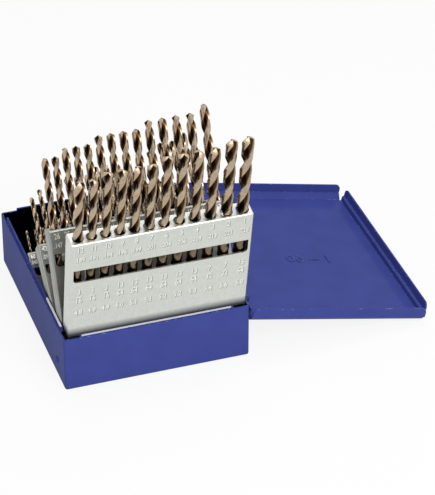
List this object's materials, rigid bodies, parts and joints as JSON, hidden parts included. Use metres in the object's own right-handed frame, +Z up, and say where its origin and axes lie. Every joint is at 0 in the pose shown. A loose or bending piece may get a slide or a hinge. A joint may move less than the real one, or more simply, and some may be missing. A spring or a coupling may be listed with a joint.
{
  "type": "drill index",
  "caption": "Pressed-steel drill index: a case with a hinged lid and four folded-sheet racks that stand up in a fan, holding graded twist drill bits.",
  "frame": {"origin": "centre of the flat bottom face of the case", "axes": "+Z up, +X towards the hinge and the open lid, -Y towards the front rack"},
  "size_m": [0.1865, 0.1365, 0.1329],
  "materials": {
    "blue_paint": "semi-gloss powder coat",
    "zinc_sheet": "zinc-plated sheet, satin",
    "bit_steel": "bright ground high-speed steel",
    "pin_steel": "drawn wire"
  },
  "bodies": {
    "case": {"case_tray": "blue_paint", "hinge_pin": "pin_steel", "rack_a_pivots": "blue_paint", "rack_b_pivots": "blue_paint", "rack_c_pivots": "blue_paint", "rack_d_pivots": "pin_steel"},
    "lid": {"lid_cover": "blue_paint"},
    "rack_a": {"bit_01": "bit_steel", "bit_02": "bit_steel", "bit_03": "bit_steel", "bit_04": "bit_steel", "bit_05": "bit_steel", "bit_06": "bit_steel", "bit_07": "bit_steel", "bit_08": "bit_steel", "bit_09": "bit_steel", "bit_10": "bit_steel", "bit_11": "bit_steel", "bit_12": "bit_steel", "rack_a_frame": "zinc_sheet"},
    "rack_b": {"bit_13": "bit_steel", "bit_14": "bit_steel", "bit_15": "bit_steel", "bit_16": "bit_steel", "bit_17": "bit_steel", "bit_18": "bit_steel", "bit_19": "bit_steel", "bit_20": "bit_steel", "bit_21": "bit_steel", "bit_22": "bit_steel", "bit_23": "bit_steel", "bit_24": "bit_steel", "bit_25": "bit_steel", "bit_26": "bit_steel", "rack_b_frame": "zinc_sheet"},
    "rack_c": {"bits_27_to_30": "bit_steel", "bits_31_to_34": "bit_steel", "bits_35_to_38": "bit_steel", "bits_39_to_42": "bit_steel", "rack_c_frame": "zinc_sheet"},
    "rack_d": {"bits_43_to_45": "bit_steel", "bits_46_to_48": "bit_steel", "bits_49_to_51": "bit_steel", "bits_52_to_54": "bit_steel", "bits_55_to_57": "bit_steel", "bits_58_to_60": "bit_steel", "rack_d_frame": "zinc_sheet"}
  },
  "joints": [
    {"name": "lid_hinge", "type": "hinge", "parent": "case", "child": "lid", "pos_m": [0.04705, 0, 0.0276], "axis": [0, -1, 0], "range_deg": [0, 100]},
    {"name": "rack_a_fold", "type": "hinge", "parent": "case", "child": "rack_a", "pos_m": [0, -0.05275, 0.0263], "axis": [-1, 0, 0], "range_deg": [0, 101]},
    {"name": "rack_b_fold", "type": "hinge", "parent": "case", "child": "rack_b", "pos_m": [0, -0.04725, 0.018], "axis": [-1, 0, 0], "range_deg": [0, 67]},
    {"name": "rack_c_fold", "type": "hinge", "parent": "case", "child": "rack_c", "pos_m": [0, -0.04425, 0.009], "axis": [-1, 0, 0], "range_deg": [0, 42]},
    {"name": "rack_d_fold", "type": "hinge", "parent": "case", "child": "rack_d", "pos_m": [0, -0.00525, 0.0045], "axis": [-1, 0, 0], "range_deg": [0, 48]}
  ],
  "couplings": [
    {"joint": "rack_b_fold", "follows": "rack_a_fold", "ratio": 0.66337},
    {"joint": "rack_c_fold", "follows": "rack_a_fold", "ratio": 0.41584},
    {"joint": "rack_d_fold", "follows": "rack_a_fold", "ratio": 0.47525}
  ]
}
